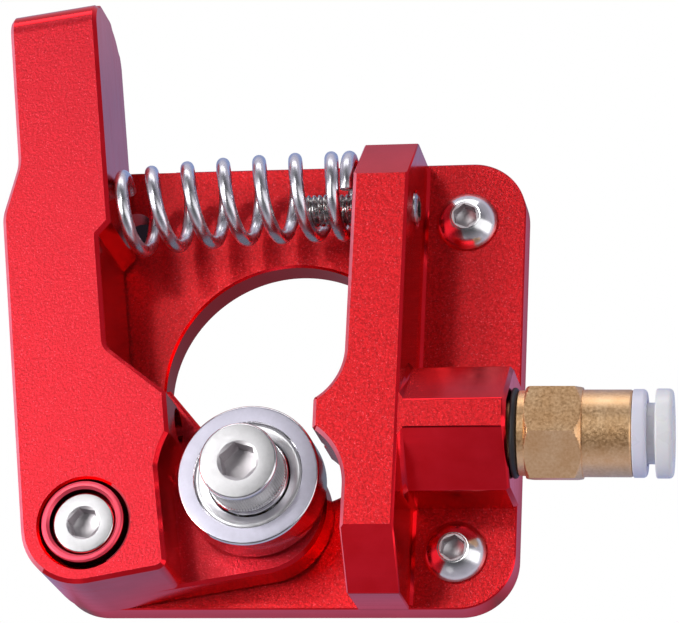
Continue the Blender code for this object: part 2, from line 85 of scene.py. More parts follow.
# lever
PIVOT = (-15.5, -15.5)
LEAN = 8.0
LEVER_BACK = 3.35               # z of its underside
LEVER_THICK = 9.65
LEVER_TOP = 50.3
LEVER_WIDE = (-5.65, 3.0)
LEVER_NARROW = (-3.9, 4.2)
FOOT_LOW = -5.6
FOOT_RIGHT = 7.0
FOOT_ROUNDS = (5.4, 0.9)
GUIDE_BULGE = 8.05
BULGE_HIGH = 10.9
TIP_FRONT_ROUND = 2.8
TIP_BACK_ROUND = 4.0
TONGUE_THICK = 3.4
TONGUE_CENTRE = (14.3, 1.2)
TONGUE_RADIUS = 6.05
TONGUE_ROOT = [(10.2, 8.6), (7.2, 13.2), (0, 13.2)]
TONGUE_CHAMFER = 0.3
INLET_RADIUS = 1.6
IDLER_AXIS = (14.4, 2.75)
IDLER_HOLLOW = 7.75
SHOULDER_Y = 26.6
SHOULDER_RISE = 1.1
WAIST_Y = (29.8, 34.6)          # where the left side narrows
WAIST_ROUND = 4.0
BULGE_ROUND = 1.5

# pivot
BUSH_RADIUS = 3.65
BUSH_BORE_RADIUS = 4.0
BUSH_SEAT_RADIUS = 2.95
BUSH_SEAT_DEPTH = 4.2
BUSH_TOP = 13.5
BUSH_EDGE = 0.22                # round of the bush's outer lip
BUSH_CONE = 0.24                # chamfer inside its mouth
PIVOT_HEAD_SINK = 0.5
BORE_GAP = 0.2

# screws: head radius, head height, across flats, socket depth
M3_CAP = (2.75, 3.0, 2.5, 1.5)
M3_BUTTON = (2.75, 1.65, 2.0, 1.1)
M4_CAP = (3.42, 4.0, 3.0, 2.0)
M3_RADIUS = 1.45
M4_RADIUS = 1.95
SCREW_END = -4.5
KNURL_LOW = 0.3
KNURL_HIGH = 3.35
KNURL_RIDGES = 84
KNURL_DEPTH = 0.08
BUTTON_CROWN = 1.3              # radius where the dome begins
BUTTON_BALL = 3.04              # radius of the dome's curve
BUTTON_CENTRE = 2.75            # its centre below the head's top
HEAD_EDGE = 0.25                # round of a cap head's top edge
THREAD_DEPTH = 0.3
M3_PITCH = 0.5
M4_PITCH = 0.7
DRILL_POINT = 0.45              # cone below the key's hexagon
FACE_GAP = 0.05

# idler bearing
BEARING_Z = 7.35
BEARING_RADIUS = 6.3
BEARING_WIDTH = 4.0
BEARING_EDGE = 0.25
BEARING_BORE = 2.1
LAND_OUTER = 4.75
LAND_INNER = 3.6
SHIELD_SEAT = 0.35              # depth of its step in the outer ring's bore
SHIELD_SINK = 0.3
SHIELD_THICK = 0.14
BALL_TRACK = 4.2
BALL_RADIUS = 0.9
BALL_COUNT = 7
GROOVE_RADIUS = 1.05

# spring and grub screw
SPRING_RADIUS = 3.48
WIRE_RADIUS = 0.6
SPRING_TURNS = 7.383
SPRING_START = -35
SPRING_CLOSED = (0.494, 1.052)
SPRING_SEAT = (29.84, 8.85)
SPRING_LIFT = (1.2, 0.45)
SPRING_END_GAP = 0.7
WIRE_TIP = 0.12                 # rounding of the cut wire ends
GRUB_Y = 14.87
GRUB_Z = 8.2
GRUB_SPAN = (1.0, 11.9)
GRUB_RADIUS = 1.45

# fitting: half the nut's width and the stations along its axis
HALF_FLATS = 3.95
HEX_TURN = 15
HEX_SPAN = (1.3, 6.2)
HEX_CONES = (0.42, 0.62)        # lengths of the cones at its two ends
BARREL_RADIUS = 3.78
BARREL_END = 10.45
GUARD_SPAN = (10.5, 11.72)
NECK_RADIUS = 2.65
CAP_SPAN = (12.47, 13.95)
CAP_RADIUS = 3.87
FITTING_TILT = 2.5
FITTING_AT = (BOSS_END, FILAMENT_Y, FILAMENT_Z)
TUBE_BORE = 2.15
SEAL_ROUND = (3.68, 0.31, 0.27)     # centre radius, centre station and radius of its rounded rim

# studio
FLOOR_GAP = 0.1                 # the floor lies this far under the screws
CAMERA_AT = (59.98, -94.12, 277.69)
CAMERA_AIM = (4.68, 6.06, 6.0)
CAMERA_ROLL = -28.03
CAMERA_LENS = 174.97            # for a sensor 36 mm wide

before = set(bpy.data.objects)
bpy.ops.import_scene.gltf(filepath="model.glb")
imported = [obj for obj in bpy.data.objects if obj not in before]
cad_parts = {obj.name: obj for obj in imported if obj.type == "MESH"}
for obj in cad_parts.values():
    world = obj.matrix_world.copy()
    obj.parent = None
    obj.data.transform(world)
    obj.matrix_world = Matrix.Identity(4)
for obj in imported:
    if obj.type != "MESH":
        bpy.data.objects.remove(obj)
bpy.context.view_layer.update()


# ---------------------------------------------------------------- materials

class Nodes:
    """Short calls for building a node tree."""

    def __init__(self, name):
        self.material = bpy.data.materials.new(name)
        self.material.use_nodes = True
        self.tree = self.material.node_tree
        self.shader = self.tree.nodes["Principled BSDF"]
        self.coords = self.tree.nodes.new("ShaderNodeTexCoord").outputs["Object"]

    def node(self, kind, values=(), **settings):
        made = self.tree.nodes.new(kind)
        for key, value in settings.items():
            setattr(made, key, value)
        for socket, value in dict(values).items():
            if isinstance(value, bpy.types.NodeSocket):
                self.tree.links.new(value, made.inputs[socket])
            else:
                made.inputs[socket].default_value = value
        return made

    def noise(self, scale, detail=2.0, stretch=(1, 1, 1), roughness=0.5):
        where = self.node("ShaderNodeMapping", {"Vector": self.coords, "Scale": stretch})
        made = self.node("ShaderNodeTexNoise", {"Vector": where.outputs[0], "Scale": scale, "Detail": detail,
                                                "Roughness": roughness})
        return made.outputs["Fac"]

    def ramp(self, value, low, high, start=0.0, end=1.0):
        made = self.node("ShaderNodeMapRange", {"Value": value, "From Min": low, "From Max": high,
                                                "To Min": start, "To Max": end})
        return made.outputs[0]

    def math(self, operation, first, second=0.0):
        made = self.node("ShaderNodeMath", {0: first, 1: second}, operation=operation)
        return made.outputs[0]

    def mix(self, factor, first, second):
        made = self.node("ShaderNodeMix", {0: factor, 6: first, 7: second}, data_type="RGBA")
        return made.outputs[2]

    def bump(self, height, strength, distance):
        return self.node("ShaderNodeBump", {"Height": height, "Strength": strength,
                                            "Distance": distance}).outputs[0]

    def set(self, **values):
        names = {"colour": "Base Color", "metallic": "Metallic", "roughness": "Roughness", "normal": "Normal",
                 "coat": "Coat Weight", "coat_roughness": "Coat Roughness",
                 "subsurface": "Subsurface Weight", "subsurface_scale": "Subsurface Scale"}
        for key, value in values.items():
            socket = self.shader.inputs[names[key]]
            if isinstance(value, bpy.types.NodeSocket):
                self.tree.links.new(value, socket)
            else:
                socket.default_value = value
        return self.material


def blasted_red(name, colour, painted_glint_colour, dark):
    """Anodised aluminium with a fine bead-blasted grain and small painted glints: bright flecks of painted
    highlight in the base colour.
    """
    n = Nodes(name)
    grain = n.noise(4300, 3.0, roughness=0.65)
    coarse = n.noise(900, 2.0)
    shade = n.mix(n.ramp(grain, 0.38, 0.6), dark, colour)
    # painted glints: small spots mixed towards the bright colour, a painted highlight standing in for the
    # sparkle of light on the grain
    painted_glint = n.ramp(n.noise(7600, 1.0), 0.62, 0.78)
    shade = n.mix(n.math("MULTIPLY", painted_glint, 0.9), shade, painted_glint_colour)
    rough = n.math("ADD", n.ramp(coarse, 0.3, 0.7, 0.38, 0.44), n.ramp(grain, 0.3, 0.7, -0.03, 0.03))
    normal = n.bump(grain, 0.8, 0.00006)
    return n.set(colour=shade, metallic=1.0, roughness=rough, normal=normal, coat=0.4, coat_roughness=0.4)


def machined_red(name, colour, dark, rough=0.18, coat=0.12):
    """The same metal as the cutter left it: smooth, with faint feed lines."""
    n = Nodes(name)
    cloud = n.noise(350, 3.0)
    lines = n.noise(2600, 2.0, stretch=(0.05, 0.05, 1.0))
    shade = n.mix(n.ramp(cloud, 0.3, 0.7), dark, colour)
    normal = n.bump(lines, 0.25, 0.00001)
    return n.set(colour=shade, metallic=1.0, roughness=n.ramp(lines, 0.3, 0.7, rough - 0.03, rough + 0.05),
                 normal=normal, coat=coat, coat_roughness=0.12)


def metal(name, colour, rough, fleck=0.04, scale=1500, stretch=(1, 1, 1), relief=0.15, dark=None):
    """Bare metal with a faint uneven polish."""
    n = Nodes(name)
    fine = n.noise(scale, 3.0, stretch)
    cloud = n.noise(420, 2.0)
    dark = dark or tuple(c * 0.86 for c in colour[:3]) + (1,)
    shade = n.mix(n.ramp(n.math("ADD", n.math("MULTIPLY", fine, 0.5), n.math("MULTIPLY", cloud, 0.5)),
                         0.35, 0.65), dark, colour)
    normal = n.bump(fine, relief, 0.000012)
    return n.set(colour=shade, metallic=1.0, roughness=n.ramp(fine, 0.3, 0.7, rough - fleck, rough + fleck),
                 normal=normal)


def plastic(name, colour, rough, subsurface=0.0):
    n = Nodes(name)
    cloud = n.noise(500, 2.0)
    shade = n.mix(n.ramp(cloud, 0.3, 0.7, 0.0, 0.35), colour, tuple(c * 0.93 for c in colour[:3]) + (1,))
    normal = n.bump(n.noise(3000, 2.0), 0.1, 0.00001)
    return n.set(colour=shade, roughness=n.ramp(cloud, 0.3, 0.7, rough - 0.05, rough + 0.05), normal=normal,
                 subsurface=subsurface, subsurface_scale=0.0008)


# The second colour given to each blasted red is its painted glint colour, a painted highlight.
RED = blasted_red("red_anodised_blasted", (0.86, 0.012, 0.02, 1), (1, 0.1, 0.13, 1), (0.62, 0.004, 0.008, 1))
RED_ARM = blasted_red("red_anodised_lever", (0.8, 0.016, 0.034, 1), (1, 0.1, 0.15, 1), (0.68, 0.01, 0.02, 1))
CUT_RED = machined_red("red_anodised_machined", (0.84, 0.012, 0.026, 1), (0.74, 0.006, 0.014, 1))
# pale pink painted highlight for the chamfers that face the light on the left
PAINTED_HIGHLIGHT_RED = machined_red("red_anodised_edge_painted_highlight", (1, 0.3, 0.38, 1), (0.95, 0.18, 0.24, 1), 0.5)
# paler pink for the bush's upward faces: a painted sheen of the light they catch, on a rougher turned finish
LIP_RED_PAINTED_SHEEN = machined_red("red_anodised_turned_painted_sheen", (1, 0.11, 0.17, 1), (0.95, 0.08, 0.13, 1), 0.45)
STEEL = metal("stainless_polished", (0.86, 0.85, 0.86, 1), 0.2)
STEEL_TOP = metal("stainless_head", (0.58, 0.57, 0.58, 1), 0.34, scale=2600)
SOCKET = metal("stainless_socket", (0.72, 0.68, 0.7, 1), 0.42, scale=3200, relief=0.4)
SHIELD = metal("stainless_pressed", (0.86, 0.85, 0.87, 1), 0.36)
RING_FACE = metal("bearing_steel_satin", (0.62, 0.6, 0.7, 1), 0.42, scale=2400, relief=0.3)
RING_RIM = metal("bearing_steel_ground", (0.78, 0.77, 0.8, 1), 0.12, stretch=(0.1, 0.1, 1), scale=3000)
SPRING_STEEL = metal("spring_wire", (0.78, 0.77, 0.82, 1), 0.28, scale=1400)
DARK_STEEL = metal("grub_screw_steel", (0.55, 0.53, 0.52, 1), 0.26, scale=1800)
BRASS = metal("brass", (1, 0.68, 0.39, 1), 0.42, 0.08, 4200, (1, 1, 1), 0.9, (0.84, 0.48, 0.22, 1))
CAGE_BRASS = metal("cage_brass", (0.8, 0.55, 0.28, 1), 0.3)
RUBBER = plastic("black_rubber", (0.014, 0.014, 0.016, 1), 0.55)
WHITE = plastic("white_plastic", (0.86, 0.86, 0.88, 1), 0.3, 0.15)
LILAC = plastic("pale_plastic", (0.8, 0.79, 0.9, 1), 0.32, 0.1)


# ---------------------------------------------------------------- shapes

def arc(x, y, radius, start, end, steps):
    points = []
    for i in range(steps + 1):
        angle = math.radians(start + (end - start) * i / steps)
        points.append((x + radius * math.cos(angle), y + radius * math.sin(angle)))
    return points


def rounded(corners, steps=14):
    """Outline through the corners (x, y) or (x, y, radius), with each radius as a true arc."""
    outline = []
    for i, corner in enumerate(corners):
        here = Vector(corner[:2])
        if len(corner) == 2:
            outline.append(tuple(here))
            continue
        back = (Vector(corners[i - 1][:2]) - here).normalized()
        ahead = (Vector(corners[(i + 1) % len(corners)][:2]) - here).normalized()
        half = back.angle(ahead) / 2
        centre = here + (back + ahead).normalized() * (corner[2] / math.sin(half))
        start = here + back * (corner[2] / math.tan(half)) - centre
        sweep = start.angle_signed(here + ahead * (corner[2] / math.tan(half)) - centre)
        for k in range(steps + 1):
            outline.append(tuple(centre + Matrix.Rotation(-sweep * k / steps, 2) @ start))
    return outline


def circle(radius, steps, turn=0.0):
    return arc(0, 0, radius, turn, turn + 360 - 360 / steps, steps - 1)


def shape(name, data, matrix=None):
    """A mesh object in mm, in the scene, for cutting and joining."""
    bmesh.ops.remove_doubles(data, verts=data.verts, dist=1e-5)
    bmesh.ops.recalc_face_normals(data, faces=data.faces)
    if matrix:
        data.transform(matrix)
    mesh = bpy.data.meshes.new(name)
    data.to_mesh(mesh)
    data.free()
    made = bpy.data.objects.new(name, mesh)
    bpy.context.scene.collection.objects.link(made)
    return made


def prism(name, outline, low, high, matrix=None):
    data = bmesh.new()
    base = data.faces.new([data.verts.new((x, y, low)) for x, y in outline])
    grown = bmesh.ops.extrude_face_region(data, geom=[base])["geom"]
    raised = [v for v in grown if isinstance(v, bmesh.types.BMVert)]
    bmesh.ops.translate(data, vec=(0, 0, high - low), verts=raised)
    return shape(name, data, matrix)


def turned(name, profile, steps=ROUND, matrix=None, wave=None):
    """Solid of revolution about Z from a closed profile of (radius, z); wave changes the radius by angle."""
    data = bmesh.new()
    rows = []
    for radius, z in profile:
        if radius < 1e-6:
            rows.append([data.verts.new((0, 0, z))] * steps)
            continue
        row = []
        for k in range(steps):
            angle = 2 * math.pi * k / steps
            r = wave(angle, radius, z) if wave else radius
            row.append(data.verts.new((r * math.cos(angle), r * math.sin(angle), z)))
        rows.append(row)
    for i, row in enumerate(rows):
        above = rows[(i + 1) % len(rows)]
        for k in range(steps):
            corners = []
            for vert in (row[k], row[(k + 1) % steps], above[(k + 1) % steps], above[k]):
                if vert not in corners:
                    corners.append(vert)
            if len(corners) > 2:
                data.faces.new(corners)
    return shape(name, data, matrix)


def skin(name, data, rows, matrix=None):
    """Closed solid over rows of vertices, with a face at each end."""
    count = len(rows[0])
    for first, second in zip(rows, rows[1:]):
        for k in range(count):
            beside = (k + 1) % count
            data.faces.new((first[k], first[beside], second[beside], second[k]))
    data.faces.new(rows[0])
    data.faces.new(rows[-1])
    return shape(name, data, matrix)


def combine(target, tool, operation):
    """Exact Boolean applied at once; the tool goes away."""
    modifier = target.modifiers.new("combine", "BOOLEAN")
    modifier.operation = operation
    modifier.solver = "EXACT"
    modifier.object = tool
    graph = bpy.context.evaluated_depsgraph_get()
    mesh = bpy.data.meshes.new_from_object(target.evaluated_get(graph))
    target.modifiers.clear()
    target.data = mesh
    bpy.data.objects.remove(tool)


def bevel(target, width, chosen, clamp=True):
    """Chamfers the edges for which chosen(edge, middle) holds; middle is in mm."""
    data = bmesh.new()
    data.from_mesh(target.data)
    bmesh.ops.dissolve_limit(data, angle_limit=math.radians(0.3), verts=data.verts, edges=data.edges)
    edges = []
    for edge in data.edges:
        if len(edge.link_faces) == 2 and edge.calc_face_angle() > math.radians(28):
            if edge.is_convex and chosen(edge, (edge.verts[0].co + edge.verts[1].co) / 2):
                edges.append(edge)
    bmesh.ops.bevel(data, geom=edges, offset=width, offset_type="OFFSET", segments=1, profile=0.5,
                    affect="EDGES", clamp_overlap=clamp)
    data.to_mesh(target.data)
    data.free()


def finished(piece, body, nodes, looks, chosen=None, origin=(0, 0, 0), sharp=32):
    """Scales a shape to metres, gives it its looks and puts it on its body in the place of the CAD nodes."""
    mesh = piece.data
    mesh.transform(Matrix.Translation(-Vector(origin)))
    mesh.transform(Matrix.Scale(MM, 4))
    mesh.materials.clear()
    for look in looks:
        mesh.materials.append(look)
    for face in mesh.polygons:
        face.material_index = chosen(face.normal, face.center / MM + Vector(origin)) if chosen else 0
    mesh.shade_smooth()
    mesh.set_sharp_from_angle(angle=math.radians(sharp))
    modifier = piece.modifiers.new("even normals", "WEIGHTED_NORMAL")
    modifier.keep_sharp = True
    modifier.weight = 80
    graph = bpy.context.evaluated_depsgraph_get()
    piece.data = bpy.data.meshes.new_from_object(piece.evaluated_get(graph))
    piece.modifiers.clear()
    piece.location = Vector(origin) * MM
    if body:
        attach(piece, body)
    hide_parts(*nodes)


def facing(normal, centre):
    """Blasted where a face looks straight out of the plate, a pale painted highlight on left-hand chamfers
    that face the light, else machined.
    """
    if abs(normal.z) > 0.95:
        return 0
    # chamfers facing left and up get the pale painted highlight
    return 2 if normal.x < -0.4 and normal.z > 0.4 else 1


def along_x(x, y, z):
    """Puts local Z along the frame's X, at a point."""
    return Matrix.Translation((x, y, z)) @ Matrix.Rotation(math.radians(90), 4, "Y")


def hole(radius, low, high, edge):
    """Profile of a round cutter that breaks both rims of a hole from low to high."""
    out = radius + edge
    return [(0, low - 1), (out, low - 1), (out, low), (radius, low + edge),
            (radius, high - edge), (out, high), (out, high + 1), (0, high + 1)]


def thread_wave(pitch, depth, low, high):
    """Radius of a screw thread at each angle, fading out near its ends."""
    def wave(angle, radius, z):
        if not low <= z <= high:
            return radius
        phase = (z / pitch - angle / (2 * math.pi)) % 1.0
        height = max(0.0, min(1.0, 1.5 - 3 * abs(phase - 0.5)))
        fade = min(1.0, (z - low) / pitch, (high - z) / pitch)
        return radius - depth * (1 - height) * max(fade, 0.0)
    return wave


# ---------------------------------------------------------------- frame block

def boss_outline(grow):
    """Section of the boss, moved out by grow on all sides but its front."""
    half = BOSS_HALF + grow
    shoulder = BOSS_TOP - BOSS_CHAMFER + 0.414 * grow
    front = BOSS_HALF - BOSS_CHAMFER + 1.414 * grow
    return [(-z, y) for y, z in ((-half, POCKET_FLOOR), (half, POCKET_FLOOR), (half, shoulder),
                                 (front, BOSS_TOP), (-front, BOSS_TOP), (-half, shoulder))]


def boss():
    """Block that carries the fitting, with a broad chamfer round its end."""
    made = prism("boss", boss_outline(0), RIDGE_RIGHT - 1, BOSS_END, along_x(0, BOSS_Y, 0))
    bevel(made, EDGE_WIDE, lambda edge, at: at.z > SHARP_BELOW and at.x > BOSS_END - 0.01)
    bevel(made, EDGE_FINE, lambda edge, at: at.z > SHARP_BELOW and RIDGE_RIGHT < at.x < BOSS_END - 1)
    return made


def boss_root():
    """Sloped collar that fills the corner between the boss and the ridge."""
    data = bmesh.new()
    stations = ((RIDGE_RIGHT - 0.2, BOSS_ROOT), (RIDGE_RIGHT, BOSS_ROOT), (RIDGE_RIGHT + BOSS_ROOT, 0.0))
    rows = [[data.verts.new((x, y, z)) for x, y in boss_outline(grow)] for z, grow in stations]
    return skin("boss_root", data, rows, along_x(0, BOSS_Y, 0))


def plate(left, right, low, high):
    """Base plate with the shallow pocket under the lever."""
    corners = ((left, low), (right, low), (right, high), (left, high))
    made = prism("frame_block_body", rounded([(x, y, PLATE_CORNER) for x, y in corners], 24), 0, PLATE_THICK)
    bevel(made, EDGE_FINE, lambda edge, at: True)
    pocket = prism("pocket", rounded([(left - 1, POCKET_LOW_Y), (POCKET_RIGHT_X, POCKET_LOW_Y, 0.8),
                                      (POCKET_RIGHT_X, POCKET_STEP_Y), (POCKET_EDGE_X, POCKET_STEP_Y),
                                      (POCKET_EDGE_X, high + 1), (left - 1, high + 1)]),
                   POCKET_FLOOR, PLATE_THICK + 1)
    combine(made, pocket, "DIFFERENCE")
    return made


def ridge(low, high):
    """Upright ridge with hollows for the gear and the idler, the guide nose between them, and sloped ends."""
    gear_x, gear_y, gear_radius = GEAR_ROOM
    idler_x, idler_y, idler_radius = IDLER_ROOM
    gear_end = -math.degrees(math.acos((GUIDE_X - gear_x) / gear_radius))
    idler_start = math.degrees(math.asin((GUIDE_LOW_Y - idler_y) / idler_radius))
    idler_end = math.degrees(math.acos((RIDGE_LEFT_LOW - idler_x) / idler_radius))
    plan = [(RIDGE_RIGHT, low), (RIDGE_RIGHT, high), (RIDGE_LEFT, high)]
    plan += arc(gear_x, gear_y, gear_radius, 0, gear_end, 20)
    plan += arc(idler_x, idler_y, idler_radius, idler_start, idler_end, 20)
    plan += [(RIDGE_LEFT_LOW, low)]
    made = prism("ridge", plan, POCKET_FLOOR, RIDGE_TOP)
    cut = RIDGE_CHAMFER
    side = [(low - 1, 0), (high + 1, 0), (high + 1, RIDGE_TOP - cut - 1), (high - cut, RIDGE_TOP),
            (low + cut, RIDGE_TOP), (low - 1, RIDGE_TOP - cut - 1)]
    envelope = prism("envelope", [(-z, y) for y, z in side], -1, 30, along_x(0, 0, 0))
    combine(made, envelope, "INTERSECT")
    front = RIDGE_TOP - 0.1
    bevel(made, EDGE_WIDE, lambda edge, at: at.x < 8 and at.z > front)
    bevel(made, EDGE_MIDDLE, lambda edge, at: at.x > RIDGE_RIGHT - 0.1 and at.z > front)
    bevel(made, EDGE_FINE, lambda edge, at: SHARP_BELOW < at.z < RIDGE_TOP - 0.6)
    return made


def ridge_fillet(low, high):
    """Sloped strip where the ridge's right side meets the plate."""
    rise = PLATE_THICK + RIDGE_FILLET
    reach = RIDGE_RIGHT + RIDGE_FILLET
    section = [(-rise, RIDGE_RIGHT - 0.1), (-rise, RIDGE_RIGHT), (-PLATE_THICK, reach),
               (-POCKET_FLOOR, reach), (-POCKET_FLOOR, RIDGE_RIGHT - 0.1)]
    along_y = Matrix(((0, 1, 0, 0), (0, 0, 1, 0), (-1, 0, 0, 0), (0, 0, 0, 1)))
    return prism("ridge_fillet", section, low + 0.3, high - 0.3, along_y)


def cut_holes(block):
    """Pilot hole, filament bore, threads for the fitting and the grub screw, and the motor's screw holes."""
    pilot = turned("pilot", hole(PILOT_RADIUS, 0, PLATE_THICK, RIM_BREAK), 160)
    left = RIDGE_LEFT - 0.5
    under_ridge = prism("under_ridge", [(left, -30), (30, -30), (30, 30), (left, 30)],
                        POCKET_FLOOR, PLATE_THICK + 3)
    combine(pilot, under_ridge, "DIFFERENCE")
    combine(block, pilot, "DIFFERENCE")
    combine(block, turned("bore", hole(FILAMENT_BORE, 0, BOSS_END - GUIDE_X, 0.15), SMALL,
                          along_x(GUIDE_X, FILAMENT_Y, FILAMENT_Z)), "DIFFERENCE")
    tapped = FITTING_THREAD + BORE_GAP
    combine(block, turned("fitting_thread", [(0, 0), (tapped, 0), (tapped, 8), (0, 8)], SMALL,
                          along_x(BOSS_END - FITTING_DEPTH, FILAMENT_Y, FILAMENT_Z)), "DIFFERENCE")
    tapped = GRUB_RADIUS + BORE_GAP
    combine(block, turned("grub_thread", hole(tapped, 0, RIDGE_RIGHT - RIDGE_LEFT, RIM_BREAK), SMALL,
                          along_x(RIDGE_LEFT, GRUB_Y, GRUB_Z)), "DIFFERENCE")
    for side_x in (-1, 1):
        for side_y in (-1, 1):
            at = Matrix.Translation((side_x * HOLE_STEP, side_y * HOLE_STEP, 0))
            cutter = turned("motor_hole", hole(SCREW_HOLE_RADIUS, 0, PLATE_THICK, RIM_BREAK), SMALL, at)
            combine(block, cutter, "DIFFERENCE")


def frame_block():
    half = PLATE_SIDE / 2
    left, right = PLATE_SHIFT[0] - half, PLATE_SHIFT[0] + half
    low, high = PLATE_SHIFT[1] - half, PLATE_SHIFT[1] + half
    block = plate(left, right, low, high)
    upright = ridge(low, high)
    combine(upright, ridge_fillet(low, high), "UNION")
    combine(upright, boss(), "UNION")
    combine(upright, boss_root(), "UNION")
    combine(block, upright, "UNION")
    cut_holes(block)
    finished(block, "frame", ["frame_block"], [RED, CUT_RED, PAINTED_HIGHLIGHT_RED], facing)


# ---------------------------------------------------------------- screws

def head_profile(head, domed, knurled):
    """Profile of a screw head from its top down to its underside at z = 0."""
    radius, height = head[:2]
    profile = [(0, height)]
    if domed:
        profile += [(BUTTON_CROWN - 0.08, height), (BUTTON_CROWN, height - 0.05)]
        profile += arc(0, height - BUTTON_CENTRE, BUTTON_BALL, 63, 26, 14)
        return profile + [(radius, 0.08), (radius - 0.08, 0)]
    profile += arc(radius - HEAD_EDGE, height - HEAD_EDGE, HEAD_EDGE, 90, 0, 5)
    if knurled:
        profile += [(radius, KNURL_HIGH), (radius, KNURL_HIGH - 0.06), (radius, KNURL_LOW + 0.06),
                    (radius, KNURL_LOW)]
    return profile + arc(radius - 0.2, 0.2, 0.2, 0, -90, 4)


def key_socket(head, domed, turn):
    """Cutter for the key's hexagon, with a drill point below it and a lead-in cone on flat heads."""
    height, flats, depth = head[1:]
    socket = prism("socket", circle(flats / math.sqrt(3), 6, 30 + turn), height - depth, height + 1)
    point = turned("point", [(0, height - depth - DRILL_POINT), (flats * 0.5, height - depth + 0.02),
                             (0, height)], SMALL)
    combine(socket, point, "UNION")
    if not domed:
        mouth = flats * 0.61
        lead = turned("lead", [(0, height - 0.3), (flats * 0.5, height - 0.12), (mouth, height + 0.01),
                               (mouth, height + 1), (0, height + 1)], SMALL)
        combine(socket, lead, "UNION")
    return socket


def socket_screw(name, head, shank_radius, pitch, base, end, at, body, node, domed=False, knurled=False,
                 turn=0.0):
    """Socket screw along Z: base is the z of the head's underside, end the z of the tip."""
    height, flats, depth = head[1:]
    length = base - end
    steps_down = max(4, round(length / pitch * 7))
    profile = head_profile(head, domed, knurled) + [(shank_radius, 0)]
    profile += [(shank_radius, -length * k / steps_down * 0.94 - 0.02) for k in range(steps_down + 1)]
    profile += [(shank_radius - 0.35, -length), (0, -length)]
    thread = thread_wave(pitch, THREAD_DEPTH, -length * 0.95, -0.4)

    def wave(angle, r, z):
        if z < 0:
            return thread(angle, r, z)
        if knurled and KNURL_LOW + 0.03 < z < KNURL_HIGH - 0.03:
            return r - KNURL_DEPTH * (1 - abs(2 * (angle * KNURL_RIDGES / (2 * math.pi) % 1.0) - 1))
        return r

    steps = KNURL_RIDGES * 4 if knurled else ROUND
    screw = turned(name, profile, steps, wave=wave)
    combine(screw, key_socket(head, domed, turn), "DIFFERENCE")
    screw.data.transform(Matrix.Translation((*at, base)))
    top = base + height - 0.02
    bottom = base + height - depth - 0.6

    def look(normal, centre):
        out = math.hypot(centre.x - at[0], centre.y - at[1])
        if out < flats * 0.6 and centre.z > bottom:
            return 2
        return 1 if normal.z > 0.98 and centre.z > top else 0
    finished(screw, body, [node], [STEEL, STEEL_TOP, SOCKET], look, (*at, base), 18)


def screws():
    """The screws that run into the motor."""
    step = HOLE_STEP
    for node, y, turn in (("motor_screw_upper_right", step, 8), ("motor_screw_lower_right", -step, -6)):
        socket_screw(node + "_body", M3_BUTTON, M3_RADIUS, M3_PITCH, PLATE_THICK + FACE_GAP, SCREW_END,
                     (step, y), "frame", node, domed=True, turn=turn)
    base = BUSH_TOP - PIVOT_HEAD_SINK - M3_CAP[1]
    socket_screw("pivot_screw_body", M3_CAP, M3_RADIUS, M3_PITCH, base, SCREW_END, PIVOT, "frame",
                 "pivot_screw", turn=20)


def lever_matrix():
    """From the lever drawn upright about its pivot to its place on the plate."""
    return Matrix.Translation((*PIVOT, LEVER_BACK)) @ Matrix.Rotation(math.radians(LEAN), 4, "Z")


def idler_centre():
    return lever_matrix() @ Vector((*IDLER_AXIS, 0))


# ---------------------------------------------------------------- pivot and lever

def pivot_bush():
    """Bush clamped to the plate; its flat lip is rougher, like a turned face, and its upward faces get a
    paler pink as a painted sheen.
    """
    floor = POCKET_FLOOR + FACE_GAP
    inner = M3_RADIUS + BORE_GAP
    seat = BUSH_TOP - BUSH_SEAT_DEPTH
    profile = [(inner, floor), (BUSH_RADIUS, floor), (BUSH_RADIUS, BUSH_TOP - BUSH_EDGE)]
    profile += arc(BUSH_RADIUS - BUSH_EDGE, BUSH_TOP - BUSH_EDGE, BUSH_EDGE, 15, 90, 5)
    profile += [(BUSH_SEAT_RADIUS + BUSH_CONE, BUSH_TOP), (BUSH_SEAT_RADIUS, BUSH_TOP - BUSH_CONE)]
    profile += [(BUSH_SEAT_RADIUS, seat), (inner, seat)]
    bush = turned("pivot_bush_body", profile, ROUND, Matrix.Translation((*PIVOT, 0)))
    finished(bush, "frame", ["pivot_bush"], [LIP_RED_PAINTED_SHEEN, CUT_RED],
             lambda normal, centre: 0 if normal.z > 0.3 else 1, (*PIVOT, 0))


def arm_outline():
    """Face of the lever: foot, hollow round the idler, inlet bulge, shoulder, finger end and waist."""
    wide_left, wide_right = LEVER_WIDE
    narrow_left, narrow_right = LEVER_NARROW
    foot_left, foot_right = FOOT_ROUNDS
    waist_low, waist_high = WAIST_Y
    corners = [(wide_left, FOOT_LOW, foot_left), (FOOT_RIGHT, FOOT_LOW + 0.6, foot_right)]
    corners += arc(*IDLER_AXIS, IDLER_HOLLOW, 169, 145, 12)
    corners += [(GUIDE_BULGE, BULGE_HIGH), (wide_right, BULGE_HIGH + GUIDE_BULGE - wide_right, BULGE_ROUND),
                (wide_right, SHOULDER_Y), (narrow_right, SHOULDER_Y + SHOULDER_RISE),
                (narrow_right, LEVER_TOP), (narrow_left, LEVER_TOP),
                (narrow_left, waist_high, WAIST_ROUND), (wide_left, waist_low, WAIST_ROUND)]
    return rounded(corners)


def tongue():
    """Thin plate on the lever that holds the idler's screw."""
    centre_x, centre_y = TONGUE_CENTRE
    outline = [(0, centre_y - TONGUE_RADIUS - 0.4)]
    outline += arc(centre_x, centre_y, TONGUE_RADIUS, -92, 100, 48)
    made = prism("tongue", outline + TONGUE_ROOT, 0, TONGUE_THICK)
    bevel(made, TONGUE_CHAMFER, lambda edge, at: at.x > 1 and at.z > TONGUE_THICK - 0.1)
    return made


